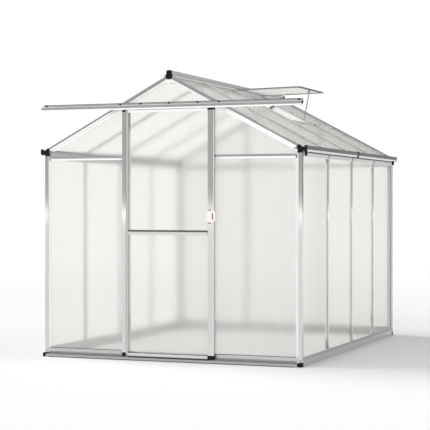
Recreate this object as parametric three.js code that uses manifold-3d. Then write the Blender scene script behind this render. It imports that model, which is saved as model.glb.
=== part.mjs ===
// A walk-in greenhouse, 1.9 m wide and 2.45 m deep: an aluminium frame glazed with 4 mm twin-wall sheet,
// with a sliding door on the front gable, a hinged vent in the right-hand roof slope, and a gutter on each eave.
// Millimetres, +Z up, +X to the right and +Y to the back. The origin is on the ground, in the middle of the box.

import * as THREE from "three";
import { mergeVertices } from "three/addons/utils/BufferGeometryUtils.js";
import Module from "manifold-3d";

const wasm = await Module();
wasm.setup();

// The house
const HALF_WIDTH = 950; // to the outer faces of the corner posts
const DEPTH = 2450;
const BAYS = 4; // panels along each side
const PITCH = THREE.MathUtils.degToRad(28);
const APEX_Z = 1955; // where the tops of the two roof slopes would meet
const POST_TOP = 1410;
const FOOT_TOP = 27;
const GAP = 0.5; // between pieces that butt

// Glazing
const PANEL = 4;
const GLAZING_DEPTH = 9; // from a bar's outer face to the middle of a panel
const PANEL_OUT = GLAZING_DEPTH - PANEL / 2;
const PANEL_IN = GLAZING_DEPTH + PANEL / 2;
const SLIT = 1.5; // half of the slit that a bar's web stands in

// Walls shared by the extrusions: skin thickness, and the two lips that hold a panel's edge
const SKIN = 2;
const FACE = 22;
const LIP_REACH = 34;
const OUTER_LIP = [4.4, 6.4];
const INNER_LIP = [11.6, 13.6];
const GRIP = FACE + GAP; // where a panel's edge lies, from the bar's outer edge

// Sills
const SILL_HEIGHT = 60;
const SILL_LEDGE = 43;
const SILL_FLANGE = 34;
const PANEL_FOOT = SILL_LEDGE + GAP;

// Eaves, roof slope and ridge. On a slope, s runs down from the apex and n stands out of it.
const EAVE_Z = 1400;
const EAVE_TOP = 1436.4;
const EAVE_LIP = 12;
const EAVE_FLANGE = 30;
const BAR_START = 33;
const BAR_END = 1078;
const BAR_NOTCH = 1040; // past it, only the outer part of a roof bar runs on, over the eave beam
const RAFTER_END = HALF_WIDTH / Math.cos(PITCH);
const ROOF_PANEL_START = 26;
const ROOF_PANEL_END = 1090;
const RIDGE_TOP = 1983;
const RIDGE_BOTTOM = 1900;
const RIDGE_HALF = 16;
const CREST_HALF = 10;
const WING_LENGTH = 40;
const WING = [0.8, 2.8]; // the wing's underside and top, above the slope

// Gutter, measured out from the wall
const GUTTER_Z = 1416;
const GUTTER_WIDTH = 34;
const GUTTER_HEIGHT = 40;

// Doorway and front gable
const DOORWAY_HALF = 300;
const JAMB_RETURN = 30;
const TRANSOM_Z = 1389.5;
const TRANSOM_HALF = 14.5;
const HEAD_Z = 1724;
const HEAD_HEIGHT = 16;
const REAR_STUD_X = 317;
const BRACE_DEPTH = 25;
const BRACE_WIDTH = 25;

// Sliding door, its rail and its track. Distances in front of the gable are measured from its outer face.
const DOOR_HALF = 337;
const DOOR_BOTTOM = 30;
const DOOR_TOP = 1717;
const DOOR_FRONT = 32;
const DOOR_BACK = 10;
const STILE_FACE = 29;
const STILE_LIP = 44;
const DOOR_PANE_DEPTH = 10.5; // from the door's front to the middle of a pane
const DOOR_MIDDLE_Z = 879;
const DOOR_RAIL_HALF = 15;
const HANGER = [20, 22.5]; // the upstand that the rollers are bolted to
const HANGER_TOP = 1745;
const ROLLER_RADIUS = 8;
const ROLLER_X = 270;
const ROLLER_WIDTH = [29.5, 36.5];
const RAIL_HALF = 957;
const RAIL_BOTTOM = 1729;
const RAIL_TOP = 1767;
const RAIL_FRONT = 40;
const TRACK_HALF = 925;
const TRACK_HEIGHT = 24;
const HANDLE_WIDTH = 65;
const HANDLE_HEIGHT = 78;
const HANDLE_FRONT = 46;
const HANDLE_X = 322.5;
const HANDLE_Z = 989.5;

// Roof vent, in the third bay of the right-hand slope. It stands open at rest.
const VENT_BAY = 2;
const VENT_OPEN = THREE.MathUtils.degToRad(29);
const VENT_HINGE = { s: 46, n: 4 };
const VENT_LENGTH = 500;
const VENT_BAR = 20;
const VENT_THICK = [-2, 9]; // below and above the hinge's plane
const VENT_SILL = [532, 560];
const STAY_PIVOT = { a: 476, b: -12 };
const STAY_LENGTH = 222;
const STAY_LEAN = THREE.MathUtils.degToRad(11);
const STAY_WIDTH = 9;
const STAY_THICK = 3;

// The box's middle lies between the door handle's front and the rear gable's face.
const FRONT = (HANDLE_FRONT - DEPTH) / 2;
const REAR = FRONT + DEPTH;
const BAY = DEPTH / BAYS;
const INNER_START = FRONT + LIP_REACH + GAP;
const INNER_END = REAR - LIP_REACH - GAP;
const slopeZ = (x) => APEX_Z - x * Math.tan(PITCH);

const aluminium = () => new THREE.MeshStandardMaterial({ color: 0xb9bbbc, roughness: 0.32, metalness: 1 });
const polycarbonate = () =>
  new THREE.MeshStandardMaterial({ color: 0xf1f4f3, roughness: 0.2, transparent: true, opacity: 0.45 });
const nylon = () => new THREE.MeshStandardMaterial({ color: 0x26282a, roughness: 0.55 });
const handlePlastic = () => new THREE.MeshStandardMaterial({ color: 0xeee3da, roughness: 0.4 });

// A prism of a section with length along Z, from low to high. The section's points are [x, y].
function upright(section, low, high, curveSegments = 6) {
  const shape = section instanceof THREE.Shape ? section : outline(section);
  const settings = { depth: high - low, bevelEnabled: false, curveSegments };
  return new THREE.ExtrudeGeometry(shape, settings).translate(0, 0, low);
}

// The same along X, from points [y, z], and along Y, from points [x, z].
function lengthwise(section, low, high) {
  const basis = new THREE.Matrix4().makeBasis(axis(0, 1, 0), axis(0, 0, 1), axis(1, 0, 0));
  return upright(section, low, high).applyMatrix4(basis);
}

function crosswise(section, low, high, curveSegments = 6) {
  const basis = new THREE.Matrix4().makeBasis(axis(1, 0, 0), axis(0, 0, 1), axis(0, -1, 0));
  return upright(section, -high, -low, curveSegments).applyMatrix4(basis);
}

function axis(x, y, z) {
  return new THREE.Vector3(x, y, z);
}

function outline(points) {
  return new THREE.Shape(points.map(([a, b]) => new THREE.Vector2(a, b)));
}

function rectangle(left, bottom, right, top) {
  return [
    [left, bottom],
    [right, bottom],
    [right, top],
    [left, top],
  ];
}

function box(low, high) {
  const size = high.map((value, i) => value - low[i]);
  const middle = high.map((value, i) => (value + low[i]) / 2);
  return new THREE.BoxGeometry(...size).translate(...middle);
}

// A closed geometry as a solid that can be cut.
function solid(geometry) {
  const bare = geometry.clone();
  bare.deleteAttribute("normal");
  bare.deleteAttribute("uv");
  const merged = mergeVertices(bare, 1e-3);
  return new wasm.Manifold(
    new wasm.Mesh({
      numProp: 3,
      vertProperties: merged.attributes.position.array,
      triVerts: new Uint32Array(merged.index.array),
    }),
  );
}

function cut(geometry, ...tools) {
  const left = tools.reduce((body, tool) => body.subtract(solid(tool)), solid(geometry));
  const mesh = left.getMesh();
  const made = new THREE.BufferGeometry();
  made.setAttribute("position", new THREE.BufferAttribute(mesh.vertProperties, 3));
  made.setIndex(new THREE.BufferAttribute(mesh.triVerts, 1));
  made.computeVertexNormals();
  return made;
}

function add(group, name, geometry, material) {
  const mesh = new THREE.Mesh(geometry, material);
  mesh.name = name;
  group.add(mesh);
  return mesh;
}

// A frame of its own inside another, which may be mirrored to build the opposite side or end.
function frame(parent, { at = [0, 0, 0], mirror = [1, 1, 1], turn = 0 } = {}) {
  const group = new THREE.Group();
  group.position.set(...at);
  group.scale.set(...mirror);
  group.rotation.y = turn;
  parent.add(group);
  return group;
}

// Sections. Each is a list of points [across, depth], with depth running in from the bar's outer face.

// A post or a gable rafter: two faces at right angles, each with a pair of lips that take a panel's edge.
function cornerSection() {
  const leg = [
    [FACE, 0],
    [FACE, OUTER_LIP[0]],
    [LIP_REACH, OUTER_LIP[0]],
    [LIP_REACH, OUTER_LIP[1]],
    [FACE, OUTER_LIP[1]],
    [FACE, INNER_LIP[0]],
    [LIP_REACH, INNER_LIP[0]],
    [LIP_REACH, INNER_LIP[1]],
    [FACE - SKIN, INNER_LIP[1]],
    [FACE - SKIN, SKIN],
  ];
  const otherLeg = leg.map(([across, depth]) => [depth, across]).reverse();
  return [[0, 0], ...leg, [SKIN, SKIN], ...otherLeg];
}

// A jamb or a door stile: one face, lips along one edge, and a return along the other.
function edgeSection(face, reach, outerLip, innerLip, back) {
  return [
    [0, 0],
    [face, 0],
    [face, outerLip[0]],
    [reach, outerLip[0]],
    [reach, outerLip[1]],
    [face, outerLip[1]],
    [face, innerLip[0]],
    [reach, innerLip[0]],
    [reach, innerLip[1]],
    [face - SKIN, innerLip[1]],
    [face - SKIN, SKIN],
    [SKIN, SKIN],
    [SKIN, back],
    [0, back],
  ];
}

// A stud or a roof bar: a nose, an H that takes a panel on each side, and a bolt channel behind it.
function glazingBarSection() {
  const half = [
    [3, 0],
    [3, OUTER_LIP[0]],
    [12, OUTER_LIP[0]],
    [12, OUTER_LIP[1]],
    [1, OUTER_LIP[1]],
    [1, INNER_LIP[0]],
    [12, INNER_LIP[0]],
    [12, INNER_LIP[1]],
    [7, INNER_LIP[1]],
    [7, 24],
    [3, 24],
    [3, 22],
    [5, 22],
    [5, 15.6],
  ];
  return [...half, ...half.map(([across, depth]) => [-across, depth]).reverse()];
}

// A bar across a gable or a door, between a panel above it and one below: stepped on its face, an H behind.
function crossBarSection(half, outerLip, innerLip) {
  return [
    [0, 0],
    [half, 0],
    [half, outerLip[1]],
    [1, outerLip[1]],
    [1, innerLip[0]],
    [half, innerLip[0]],
    [half, innerLip[1]],
    [-half, innerLip[1]],
    [-half, innerLip[0]],
    [-1, innerLip[0]],
    [-1, outerLip[1]],
    [-half, outerLip[1]],
    [-half, outerLip[0]],
    [0, outerLip[0]],
  ];
}

// [depth in from the outer face, height]: a web that leans in at the top, a ledge for the panels, a foot flange.
function sillSection() {
  return [
    [0, 0],
    [SILL_FLANGE, 0],
    [SILL_FLANGE, SKIN],
    [SKIN, SKIN],
    [SKIN, SILL_LEDGE - SKIN],
    [INNER_LIP[1], SILL_LEDGE - SKIN],
    [INNER_LIP[1], SILL_HEIGHT - 4],
    [INNER_LIP[0], SILL_HEIGHT - 4],
    [INNER_LIP[0], SILL_LEDGE],
    [SKIN + 0.4, SILL_LEDGE],
    [PANEL_OUT - 0.4, SILL_HEIGHT],
    [PANEL_OUT - 2, SILL_HEIGHT],
    [0, SILL_LEDGE - 1],
  ];
}

// One side wall and its roof slope, built as the right-hand one.
function buildSide(house, side, mirror) {
  const wall = frame(house, { mirror: [mirror, 1, 1] });
  const outward = ([depth, height]) => [HALF_WIDTH - depth, height];
  add(wall, `sill_${side}`, crosswise(sillSection().map(outward), INNER_START, INNER_END), aluminium());
  add(wall, `eave_beam_${side}`, crosswise(eaveSection().map(outward), INNER_START, INNER_END), aluminium());
  add(wall, `gutter_${side}`, crosswise(gutterSection(), FRONT + 4, REAR - 4), aluminium());
  add(wall, `wall_panels_${side}`, wallPanels(), polycarbonate());
  for (let i = 1; i < BAYS; i++) {
    const section = glazingBarSection().map(([u, depth]) => [HALF_WIDTH - depth, FRONT + i * BAY + u]);
    const stud = upright(section, SILL_HEIGHT + 1, EAVE_Z - EAVE_LIP - GAP);
    add(wall, `wall_stud_${side}_${i}`, stud, aluminium());
  }
  const slope = frame(wall, { at: [0, 0, APEX_Z], turn: PITCH });
  const vented = side === "right";
  add(slope, `roof_panels_${side}`, roofPanels(vented), polycarbonate());
  for (let i = 1; i < BAYS; i++) {
    add(slope, `roof_bar_${side}_${i}`, roofBar(FRONT + i * BAY), aluminium());
  }
  if (vented) add(slope, "vent_sill", ventSill(), aluminium());
}

function eaveSection() {
  const rise = EAVE_FLANGE * Math.tan(PITCH);
  const inner = EAVE_TOP - SKIN + 0.6;
  return [
    [0, EAVE_Z],
    [0, EAVE_TOP],
    [EAVE_FLANGE, EAVE_TOP + rise],
    [EAVE_FLANGE, inner - 0.6 + rise],
    [SKIN, inner],
    [SKIN, EAVE_Z + SKIN],
    [EAVE_FLANGE, EAVE_Z + SKIN],
    [EAVE_FLANGE, EAVE_Z],
    [INNER_LIP[1], EAVE_Z],
    [INNER_LIP[1], EAVE_Z - EAVE_LIP],
    [INNER_LIP[0], EAVE_Z - EAVE_LIP],
    [INNER_LIP[0], EAVE_Z],
    [OUTER_LIP[1], EAVE_Z],
    [OUTER_LIP[1], EAVE_Z - EAVE_LIP],
    [OUTER_LIP[0], EAVE_Z - EAVE_LIP],
    [OUTER_LIP[0], EAVE_Z],
  ];
}

function gutterSection() {
  const wall = HALF_WIDTH + 0.4;
  const front = HALF_WIDTH + GUTTER_WIDTH;
  const top = GUTTER_Z + GUTTER_HEIGHT;
  return [
    [wall, GUTTER_Z + 18],
    [wall, GUTTER_Z],
    [front - 10, GUTTER_Z],
    [front, GUTTER_Z + 14],
    [front, top],
    [front - 6, top],
    [front - 6, top - SKIN],
    [front - SKIN, top - SKIN],
    [front - SKIN, GUTTER_Z + 15],
    [front - 11, GUTTER_Z + SKIN],
    [wall + SKIN, GUTTER_Z + SKIN],
    [wall + SKIN, GUTTER_Z + 18],
  ];
}

// The panels of one wall, joined only along a strip that is hidden in the sill.
function wallPanels() {
  const low = [HALF_WIDTH - PANEL_IN, FRONT + GRIP, PANEL_FOOT];
  const high = [HALF_WIDTH - PANEL_OUT, REAR - GRIP, EAVE_Z - GAP];
  const slits = [];
  for (let i = 1; i < BAYS; i++) {
    const y = FRONT + i * BAY;
    slits.push(box([low[0] - 1, y - SLIT, SILL_HEIGHT], [high[0] + 1, y + SLIT, high[2] + 1]));
  }
  return cut(box(low, high), ...slits);
}

// The panels of one slope, joined only along their lower edge, past the ends of the bars.
function roofPanels(vented) {
  const low = [ROOF_PANEL_START, FRONT + GRIP, -PANEL_IN];
  const high = [ROOF_PANEL_END, REAR - GRIP, -PANEL_OUT];
  const tools = [];
  for (let i = 1; i < BAYS; i++) {
    const y = FRONT + i * BAY;
    tools.push(box([low[0] - 1, y - SLIT, low[2] - 1], [BAR_END + GAP, y + SLIT, high[2] + 1]));
  }
  if (vented) {
    const y = FRONT + VENT_BAY * BAY;
    const below = (VENT_SILL[0] + VENT_SILL[1]) / 2 + SLIT;
    tools.push(box([low[0] - 1, y, low[2] - 1], [below, y + BAY, high[2] + 1]));
  }
  return cut(box(low, high), ...tools);
}

function roofBar(y) {
  const section = glazingBarSection().map(([across, depth]) => [y + across, -depth]);
  const notch = box([BAR_NOTCH, y - 20, -40], [BAR_END + 1, y + 20, -INNER_LIP[0] + 0.4]);
  return cut(lengthwise(section, BAR_START, BAR_END), notch);
}

// The bar across the lower edge of the vent's opening. It grips the panel below, and the vent closes onto it.
function ventSill() {
  const y = FRONT + VENT_BAY * BAY;
  const middle = (VENT_SILL[0] + VENT_SILL[1]) / 2;
  const half = (VENT_SILL[1] - VENT_SILL[0]) / 2;
  const section = crossBarSection(half, OUTER_LIP, INNER_LIP).map(([u, depth]) => [middle - u, -depth]);
  return crosswise(section, y + 12 + GAP, y + BAY - 12 - GAP);
}

// The four corners: a post, and the gable rafter that stands on it.
function buildCorner(house, name, mirror, y) {
  const corner = frame(house, { at: [0, y, 0], mirror });
  const post = cornerSection().map(([across, depth]) => [HALF_WIDTH - across, depth]);
  add(corner, `corner_post_${name}`, upright(post, FOOT_TOP, POST_TOP), aluminium());
  const slope = frame(corner, { at: [0, 0, APEX_Z], turn: PITCH });
  const rafter = cornerSection().map(([across, depth]) => [across, -depth]);
  const beyond = RIDGE_HALF + GAP; // the rafter is cut upright where it meets the ridge beam
  const mitre = box([-60, -1, -60], [beyond, LIP_REACH + 1, 60]).rotateY(-PITCH);
  add(slope, `gable_rafter_${name}`, cut(lengthwise(rafter, 0, RAFTER_END), mitre), aluminium());
}

// A box girder under the apex, with a crest and two wings that cover the upper edges of the roof. Its walls are
// cut away at both ends, where the gables' glazing passes under it.
function buildRidge(house) {
  const onSlope = (s, n) => {
    const x = s * Math.cos(PITCH) + n * Math.sin(PITCH);
    return [x, APEX_Z - s * Math.sin(PITCH) + n * Math.cos(PITCH)];
  };
  const above = (x, n) => [x, slopeZ(x) + n / Math.cos(PITCH)];
  const half = [
    [CREST_HALF, RIDGE_TOP],
    above(CREST_HALF, WING[1]),
    onSlope(WING_LENGTH, WING[1]),
    onSlope(WING_LENGTH, WING[0]),
    above(RIDGE_HALF, WING[0]),
    [RIDGE_HALF, RIDGE_BOTTOM],
    [RIDGE_HALF - SKIN, RIDGE_BOTTOM],
    [RIDGE_HALF - SKIN, slopeZ(RIDGE_HALF) - SKIN],
  ];
  const section = [...half, ...half.map(([x, z]) => [-x, z]).reverse()];
  const notch = (start) => box([-RIDGE_HALF - 1, start, RIDGE_BOTTOM - 1], [RIDGE_HALF + 1, start + 15, 1931]);
  const beam = cut(crosswise(section, FRONT + 2, REAR - 2), notch(FRONT), notch(REAR - 15));
  add(house, "ridge_beam", beam, aluminium());
}

// The outline of a gable's glazing, from the sill to the rafters.
function gableOutline() {
  const top = APEX_Z - GRIP / Math.cos(PITCH);
  const side = HALF_WIDTH - GRIP;
  const shoulder = top - side * Math.tan(PITCH);
  return [
    [-side, PANEL_FOOT],
    [side, PANEL_FOOT],
    [side, shoulder],
    [0, top],
    [-side, shoulder],
  ];
}

// In a gable's own frame y is the depth in from its outer face.
const across = (x0, x1, z0, z1) => box([x0, PANEL_OUT - 1, z0], [x1, PANEL_IN + 1, z1]);

function buildFrontGable(house) {
  const gable = frame(house, { at: [0, FRONT, 0] });
  const width = HALF_WIDTH - LIP_REACH - GAP;
  add(gable, "sill_front", lengthwise(sillSection(), -width, width), aluminium());
  const jambTop = slopeZ(DOORWAY_HALF + LIP_REACH) - LIP_REACH / Math.cos(PITCH) - GAP;
  const jamb = edgeSection(FACE, LIP_REACH, OUTER_LIP, INNER_LIP, JAMB_RETURN);
  const transom = crossBarSection(TRANSOM_HALF, OUTER_LIP, INNER_LIP);
  const transomSection = transom.map(([rise, depth]) => [depth, TRANSOM_Z + rise]);
  for (const [side, mirror] of [["left", -1], ["right", 1]]) {
    const half = frame(gable, { mirror: [mirror, 1, 1] });
    const section = jamb.map(([u, depth]) => [DOORWAY_HALF + u, depth]);
    add(half, `door_jamb_${side}`, upright(section, SILL_HEIGHT + 1, jambTop), aluminium());
    const bar = lengthwise(transomSection, DOORWAY_HALF + LIP_REACH + GAP, width);
    add(half, `front_transom_${side}`, bar, aluminium());
  }
  add(gable, "door_head", doorHead(), aluminium());
  add(gable, "gable_panels_front", frontPanels(jambTop), polycarbonate());
}

// An angle across the doorway, with lips that take the foot of the peak's panel.
function doorHead() {
  const top = HEAD_Z + HEAD_HEIGHT;
  const section = [
    [0, HEAD_Z],
    [JAMB_RETURN, HEAD_Z],
    [JAMB_RETURN, HEAD_Z + SKIN],
    [INNER_LIP[1], HEAD_Z + SKIN],
    [INNER_LIP[1], top],
    [INNER_LIP[0], top],
    [INNER_LIP[0], HEAD_Z + SKIN],
    [OUTER_LIP[1], HEAD_Z + SKIN],
    [OUTER_LIP[1], top],
    [OUTER_LIP[0], top],
    [OUTER_LIP[0], HEAD_Z + SKIN],
    [0, HEAD_Z + SKIN],
  ];
  return lengthwise(section, GAP - DOORWAY_HALF, DOORWAY_HALF - GAP);
}

// The front gable's panels in one piece, joined only where posts, jambs and rafters hide it.
function frontPanels(jambTop) {
  const webStart = DOORWAY_HALF - GAP;
  const webEnd = DOORWAY_HALF + FACE + GAP;
  const doorway = across(-webEnd, webEnd, 0, HEAD_Z + SKIN + GAP);
  const tools = [doorway];
  for (const side of [-1, 1]) {
    const web = [side * webStart, side * webEnd].sort((a, b) => a - b);
    tools.push(across(...web, 0, jambTop + GAP));
    const bar = [side * (DOORWAY_HALF + LIP_REACH), side * (HALF_WIDTH - LIP_REACH)].sort((a, b) => a - b);
    tools.push(across(...bar, TRANSOM_Z - SLIT, TRANSOM_Z + SLIT));
  }
  return cut(crosswise(gableOutline(), PANEL_OUT, PANEL_IN), ...tools);
}

function buildRearGable(house) {
  const gable = frame(house, { at: [0, REAR, 0], mirror: [1, -1, 1] });
  const width = HALF_WIDTH - LIP_REACH - GAP;
  add(gable, "sill_rear", lengthwise(sillSection(), -width, width), aluminium());
  const studTop = slopeZ(REAR_STUD_X + 12) - LIP_REACH / Math.cos(PITCH) - GAP;
  const slits = [];
  for (const [side, mirror] of [["left", -1], ["right", 1]]) {
    const x = mirror * REAR_STUD_X;
    const section = glazingBarSection().map(([u, depth]) => [x + u, depth]);
    add(gable, `rear_stud_${side}`, upright(section, SILL_HEIGHT + 1, studTop), aluminium());
    slits.push(across(x - SLIT, x + SLIT, SILL_HEIGHT, APEX_Z));
  }
  add(gable, "rear_brace", rearBrace(width), aluminium());
  const panels = cut(crosswise(gableOutline(), PANEL_OUT, PANEL_IN), ...slits);
  add(gable, "gable_panels_rear", panels, polycarbonate());
}

// An angle bolted across the inside of the rear studs, at the height of the front transoms.
function rearBrace(half) {
  const low = TRANSOM_Z - TRANSOM_HALF;
  const section = [
    [BRACE_DEPTH, low],
    [BRACE_DEPTH + BRACE_WIDTH, low],
    [BRACE_DEPTH + BRACE_WIDTH, low + SKIN],
    [BRACE_DEPTH + SKIN, low + SKIN],
    [BRACE_DEPTH + SKIN, low + 2 * TRANSOM_HALF],
    [BRACE_DEPTH, low + 2 * TRANSOM_HALF],
  ];
  return lengthwise(section, -half, half);
}

// The hooded rail that the door hangs from, and the track that keeps its foot in line.
function buildRunners(house) {
  const gable = frame(house, { at: [0, FRONT, 0], mirror: [1, -1, 1] }); // y is the distance in front
  const back = 0.4;
  const ledge = RAIL_BOTTOM + SKIN;
  const rail = [
    [back, RAIL_TOP],
    [back + SKIN, RAIL_TOP],
    [back + SKIN, RAIL_BOTTOM + 23],
    [RAIL_FRONT, RAIL_BOTTOM + 21],
    [RAIL_FRONT, RAIL_BOTTOM],
    [RAIL_FRONT - 14, RAIL_BOTTOM],
    [RAIL_FRONT - 14, ledge + 2],
    [RAIL_FRONT - 12, ledge + 2],
    [RAIL_FRONT - 12, ledge],
    [RAIL_FRONT - SKIN, ledge],
    [RAIL_FRONT - SKIN, RAIL_BOTTOM + 19],
    [back + SKIN, RAIL_BOTTOM + 21],
    [back + SKIN, ledge],
    [back, ledge],
  ];
  add(gable, "door_rail", lengthwise(rail, -RAIL_HALF, RAIL_HALF), aluminium());
  const fin = [21, 23];
  const track = [
    [back, 0],
    [RAIL_FRONT, 0],
    [RAIL_FRONT, TRACK_HEIGHT - 4],
    [RAIL_FRONT - SKIN, TRACK_HEIGHT - 4],
    [RAIL_FRONT - SKIN, SKIN],
    [fin[1], SKIN],
    [fin[1], TRACK_HEIGHT],
    [fin[0], TRACK_HEIGHT],
    [fin[0], SKIN],
    [back + SKIN, SKIN],
    [back + SKIN, TRACK_HEIGHT],
    [back, TRACK_HEIGHT],
  ];
  add(gable, "door_track", lengthwise(track, -TRACK_HALF, TRACK_HALF), aluminium());
}

// The door: two stiles, three rails, two panes, a handle and two rollers. In its frame y runs in from the front.
function buildDoor(house) {
  const door = frame(house, { at: [0, FRONT - DOOR_FRONT, 0] });
  const thick = DOOR_FRONT - DOOR_BACK;
  const outerLip = [DOOR_PANE_DEPTH - 4.6, DOOR_PANE_DEPTH - 2.6];
  const innerLip = [DOOR_PANE_DEPTH + 2.6, DOOR_PANE_DEPTH + 4.6];
  const stile = edgeSection(STILE_FACE, STILE_LIP, outerLip, innerLip, thick);
  for (const [side, mirror] of [["left", -1], ["right", 1]]) {
    const half = frame(door, { mirror: [mirror, 1, 1] });
    const section = stile.map(([u, depth]) => [DOOR_HALF - u, depth]);
    add(half, `door_stile_${side}`, upright(section, DOOR_BOTTOM, DOOR_TOP), aluminium());
    const roller = add(half, `door_roller_${side}`, rollerGeometry(), nylon());
    roller.position.set(ROLLER_X, 0, RAIL_BOTTOM + SKIN + 0.3 + ROLLER_RADIUS);
  }
  const reach = DOOR_HALF - STILE_LIP - GAP;
  const middle = crossBarSection(DOOR_RAIL_HALF, outerLip, innerLip);
  const middleSection = middle.map(([rise, depth]) => [depth, DOOR_MIDDLE_Z - rise]);
  add(door, "door_middle_rail", lengthwise(middleSection, -reach, reach), aluminium());
  add(door, "door_top_rail", lengthwise(topRailSection(outerLip, innerLip), -reach, reach), aluminium());
  const bottomRail = lengthwise(bottomRailSection(outerLip, innerLip), -reach, reach);
  add(door, "door_bottom_rail", bottomRail, aluminium());
  const paneHalf = DOOR_HALF - STILE_FACE - GAP;
  const pane = (low, high) =>
    box([-paneHalf, DOOR_PANE_DEPTH - PANEL / 2, low], [paneHalf, DOOR_PANE_DEPTH + PANEL / 2, high]);
  add(door, "door_pane_upper", pane(DOOR_MIDDLE_Z + SLIT, DOOR_TOP - SKIN - GAP), polycarbonate());
  add(door, "door_pane_lower", pane(DOOR_BOTTOM + SKIN + GAP, DOOR_MIDDLE_Z - SLIT), polycarbonate());
  add(door, "door_handle", handleGeometry(), handlePlastic());
}

// A channel that is open downwards for the pane, with the upstand that the rollers are bolted to.
function topRailSection(outerLip, innerLip) {
  const low = DOOR_TOP - 17;
  const hanger = HANGER.map((distance) => DOOR_FRONT - distance).reverse();
  return [
    [outerLip[0], low],
    [outerLip[1], low],
    [outerLip[1], DOOR_TOP - SKIN],
    [innerLip[0], DOOR_TOP - SKIN],
    [innerLip[0], low],
    [innerLip[1], low],
    [innerLip[1], DOOR_TOP],
    [hanger[1], DOOR_TOP],
    [hanger[1], HANGER_TOP],
    [hanger[0], HANGER_TOP],
    [hanger[0], DOOR_TOP],
    [outerLip[0], DOOR_TOP],
  ];
}

// A channel that is open upwards for the pane, with two legs that straddle the track's fin.
function bottomRailSection(outerLip, innerLip) {
  const top = DOOR_BOTTOM + 20;
  const foot = DOOR_BOTTOM - 14;
  const legs = [5, 17];
  return [
    [legs[0], foot],
    [legs[0] + SKIN, foot],
    [legs[0] + SKIN, DOOR_BOTTOM],
    [legs[1] - SKIN, DOOR_BOTTOM],
    [legs[1] - SKIN, foot],
    [legs[1], foot],
    [legs[1], DOOR_BOTTOM + SKIN],
    [innerLip[1], DOOR_BOTTOM + SKIN],
    [innerLip[1], top],
    [innerLip[0], top],
    [innerLip[0], DOOR_BOTTOM + SKIN],
    [outerLip[1], DOOR_BOTTOM + SKIN],
    [outerLip[1], top],
    [outerLip[0], top],
    [outerLip[0], DOOR_BOTTOM + SKIN],
    [legs[0], DOOR_BOTTOM + SKIN],
  ];
}

// A grooved wheel with its hub. It turns on an axis along y.
function rollerGeometry() {
  const toDoor = (distance) => DOOR_FRONT - distance;
  const rim = [toDoor(ROLLER_WIDTH[1]), toDoor(ROLLER_WIDTH[0])];
  const hub = toDoor(HANGER[1]) - 0.4;
  const middle = (rim[0] + rim[1]) / 2;
  const profile = [
    [0, rim[0]],
    [ROLLER_RADIUS, rim[0]],
    [ROLLER_RADIUS, rim[0] + 1.5],
    [ROLLER_RADIUS - 1.2, middle],
    [ROLLER_RADIUS, rim[1] - 1.5],
    [ROLLER_RADIUS, rim[1]],
    [4, rim[1]],
    [4, hub],
    [0, hub],
  ];
  return new THREE.LatheGeometry(profile.map(([r, y]) => new THREE.Vector2(r, y)), 20);
}

// A moulded pull with rounded corners and a recess for the fingers.
function handleGeometry() {
  const radius = 18;
  const left = HANDLE_X - HANDLE_WIDTH / 2;
  const right = HANDLE_X + HANDLE_WIDTH / 2;
  const low = HANDLE_Z - HANDLE_HEIGHT / 2;
  const high = HANDLE_Z + HANDLE_HEIGHT / 2;
  const plate = new THREE.Shape();
  plate.absarc(right - radius, low + radius, radius, -Math.PI / 2, 0);
  plate.absarc(right - radius, high - radius, radius, 0, Math.PI / 2);
  plate.absarc(left + radius, high - radius, radius, Math.PI / 2, Math.PI);
  plate.absarc(left + radius, low + radius, radius, Math.PI, 1.5 * Math.PI);
  const front = DOOR_FRONT - HANDLE_FRONT;
  const upstanding = crosswise(plate, front, -GAP, 5);
  const recess = box([HANDLE_X + 7.5, front - 1, HANDLE_Z - 22.5], [HANDLE_X + 17.5, front + 9, HANDLE_Z + 22.5]);
  return cut(upstanding, recess);
}

// The vent: a frame, its pane, and the stay that props it. In its frame x runs down the pane from the hinge.
function buildVent(house) {
  const x = VENT_HINGE.s * Math.cos(PITCH) + VENT_HINGE.n * Math.sin(PITCH);
  const z = APEX_Z - VENT_HINGE.s * Math.sin(PITCH) + VENT_HINGE.n * Math.cos(PITCH);
  const vent = frame(house, { at: [x, 0, z], turn: PITCH - VENT_OPEN });
  const start = FRONT + VENT_BAY * BAY + 2;
  const end = start + BAY - 4;
  const grip = VENT_BAR - 8;
  const pane = [2.5, 2.5 + PANEL];
  const opening = box([VENT_BAR - 3, start + VENT_BAR, -20], [VENT_LENGTH - VENT_BAR, end - VENT_BAR, 20]);
  const rebate = box(
    [grip - 3, start + grip, pane[0] - 0.3],
    [VENT_LENGTH - grip, end - grip, pane[1] + 0.3],
  );
  const blank = box([-3, start, VENT_THICK[0]], [VENT_LENGTH, end, VENT_THICK[1]]);
  add(vent, "vent_frame", cut(blank, opening, rebate), aluminium());
  const low = [grip - 2.5, start + grip + GAP, pane[0]];
  const high = [VENT_LENGTH - grip - GAP, end - grip - GAP, pane[1]];
  add(vent, "vent_pane", box(low, high), polycarbonate());
  const middle = (start + end) / 2;
  add(vent, "vent_stay_bracket", stayBracket(middle), nylon());
  const stay = add(vent, "vent_stay", stayGeometry(), aluminium());
  stay.position.set(STAY_PIVOT.a, middle + 2, STAY_PIVOT.b);
  stay.rotation.y = STAY_LEAN + VENT_OPEN - PITCH;
}

// A lug under the vent's lower bar, beside which the stay hangs on its pin.
function stayBracket(y) {
  const top = VENT_THICK[0] - 0.4;
  const lug = new THREE.Shape();
  lug.moveTo(STAY_PIVOT.a - 5, STAY_PIVOT.b);
  lug.lineTo(STAY_PIVOT.a - 5, top);
  lug.lineTo(STAY_PIVOT.a + 5, top);
  lug.lineTo(STAY_PIVOT.a + 5, STAY_PIVOT.b);
  lug.absarc(STAY_PIVOT.a, STAY_PIVOT.b, 5, 0, -Math.PI, true);
  return crosswise(lug, y - 5, y + 1.6);
}

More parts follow.
